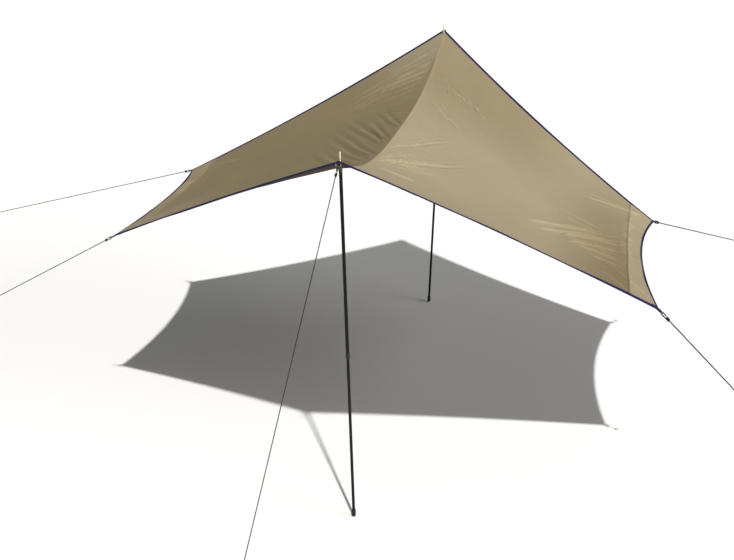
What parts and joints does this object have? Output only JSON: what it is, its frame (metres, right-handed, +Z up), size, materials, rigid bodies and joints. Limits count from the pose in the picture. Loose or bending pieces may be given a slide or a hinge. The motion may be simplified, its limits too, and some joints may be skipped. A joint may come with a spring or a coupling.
{
  "type": "tarp shelter",
  "caption": "Six-sided ridge tarp canopy raised on telescopic poles and stretched by guy lines with runners and pegs.",
  "frame": {"origin": "on the ground below the middle of the ridge, at the centre of the canopy and poles", "axes": "+Z up, +Y along the ridge from the front pole to the back pole, +X towards the right wing"},
  "size_m": [7.7383, 6.7172, 2.4019],
  "materials": {
    "canopy_cloth": "satin",
    "patch_cloth": "satin",
    "edge_binding": "matte",
    "webbing": "matte",
    "steel": "satin",
    "spike_steel": "satin",
    "pole_collar": "satin",
    "pole_tube": "satin",
    "pole_plastic": "matte",
    "foot_rubber": "matte",
    "guy_line": "matte",
    "storm_guy": "matte",
    "runner_plastic": "satin",
    "peg_steel": "satin"
  },
  "bodies": {
    "canopy": {"left_panel": "canopy_cloth", "left_end_panel": "canopy_cloth", "left_front_binding": "edge_binding", "left_back_binding": "edge_binding", "left_end_binding": "edge_binding", "front_left_corner_patch": "patch_cloth", "back_left_corner_patch": "patch_cloth", "right_panel": "canopy_cloth", "right_end_panel": "canopy_cloth", "right_front_binding": "edge_binding", "right_back_binding": "edge_binding", "right_end_binding": "edge_binding", "front_right_corner_patch": "patch_cloth", "back_right_corner_patch": "patch_cloth", "ridge_tape": "canopy_cloth", "front_peak_patch": "patch_cloth", "front_peak_grommet": "steel", "back_peak_patch": "patch_cloth", "back_peak_grommet": "steel", "front_webbing": "webbing", "front_ring": "steel", "front_guy_line": "guy_line", "front_peg": "peg_steel", "front_left_webbing": "webbing", "front_left_ring": "steel", "front_left_guy_line": "guy_line", "front_left_peg": "peg_steel", "back_left_webbing": "webbing", "back_left_ring": "steel", "back_left_guy_line": "guy_line", "back_left_peg": "peg_steel", "front_right_webbing": "webbing", "front_right_ring": "steel", "front_right_guy_line": "storm_guy", "front_right_peg": "peg_steel", "back_right_webbing": "webbing", "back_right_ring": "steel", "back_right_guy_line": "storm_guy", "back_right_peg": "peg_steel", "back_webbing": "webbing"},
    "front_pole_upper": {"front_pole_spike": "spike_steel", "front_pole_collar": "pole_collar", "front_pole_upper_tube": "pole_tube", "front_pole_sleeve": "pole_plastic"},
    "front_pole_lower": {"front_pole_lock_plug": "pole_plastic", "front_pole_lower_tube": "pole_tube", "front_pole_foot": "foot_rubber"},
    "back_pole_upper": {"back_pole_spike": "spike_steel", "back_pole_collar": "pole_collar", "back_pole_upper_tube": "pole_tube", "back_pole_sleeve": "pole_plastic"},
    "back_pole_lower": {"back_pole_lock_plug": "pole_plastic", "back_pole_lower_tube": "pole_tube", "back_pole_foot": "foot_rubber"},
    "front_runner": {"front_tensioner": "runner_plastic"},
    "front_left_runner": {"front_left_tensioner": "runner_plastic"},
    "back_left_runner": {"back_left_tensioner": "runner_plastic"},
    "front_right_runner": {"front_right_tensioner": "runner_plastic"},
    "back_right_runner": {"back_right_tensioner": "runner_plastic"},
    "back_ring": {"back_ring": "steel"}
  },
  "joints": [
    {"name": "front_pole_lean", "type": "hinge", "parent": "canopy", "child": "front_pole_upper", "pos_m": [0, -1.86, 2.33691], "axis": [1, 0, 0], "range_deg": [-12, 12]},
    {"name": "front_pole_telescope", "type": "slide", "parent": "front_pole_upper", "child": "front_pole_lower", "axis": [-0.043, -0.0026, 0.9991], "range_m": [0, 0.95]},
    {"name": "back_pole_lean", "type": "hinge", "parent": "canopy", "child": "back_pole_upper", "pos_m": [0, 1.86, 2.33691], "axis": [1, 0, 0], "range_deg": [-12, 12]},
    {"name": "back_pole_telescope", "type": "slide", "parent": "back_pole_upper", "child": "back_pole_lower", "axis": [0.0181, 0.037, 0.9992], "range_m": [0, 0.95]},
    {"name": "front_runner_slide", "type": "slide", "parent": "canopy", "child": "front_runner", "axis": [0.1214, 0.4694, 0.8746], "range_m": [-0.075, 0.045]},
    {"name": "front_left_runner_slide", "type": "slide", "parent": "canopy", "child": "front_left_runner", "axis": [0.7905, -0.33, 0.516], "range_m": [-0.075, 0.045]},
    {"name": "back_left_runner_slide", "type": "slide", "parent": "canopy", "child": "back_left_runner", "axis": [0.8032, -0.4855, 0.3452], "range_m": [-0.075, 0.045]},
    {"name": "front_right_runner_slide", "type": "slide", "parent": "canopy", "child": "front_right_runner", "axis": [-0.7369, 0.1488, 0.6595], "range_m": [-0.075, 0.045]},
    {"name": "back_right_runner_slide", "type": "slide", "parent": "canopy", "child": "back_right_runner", "axis": [-0.3271, -0.8774, 0.351], "range_m": [-0.075, 0.045]},
    {"name": "back_ring_swing", "type": "hinge", "parent": "canopy", "child": "back_ring", "pos_m": [0, 1.89, 2.334], "axis": [1, 0, 0], "range_deg": [-20, 100]}
  ]
}
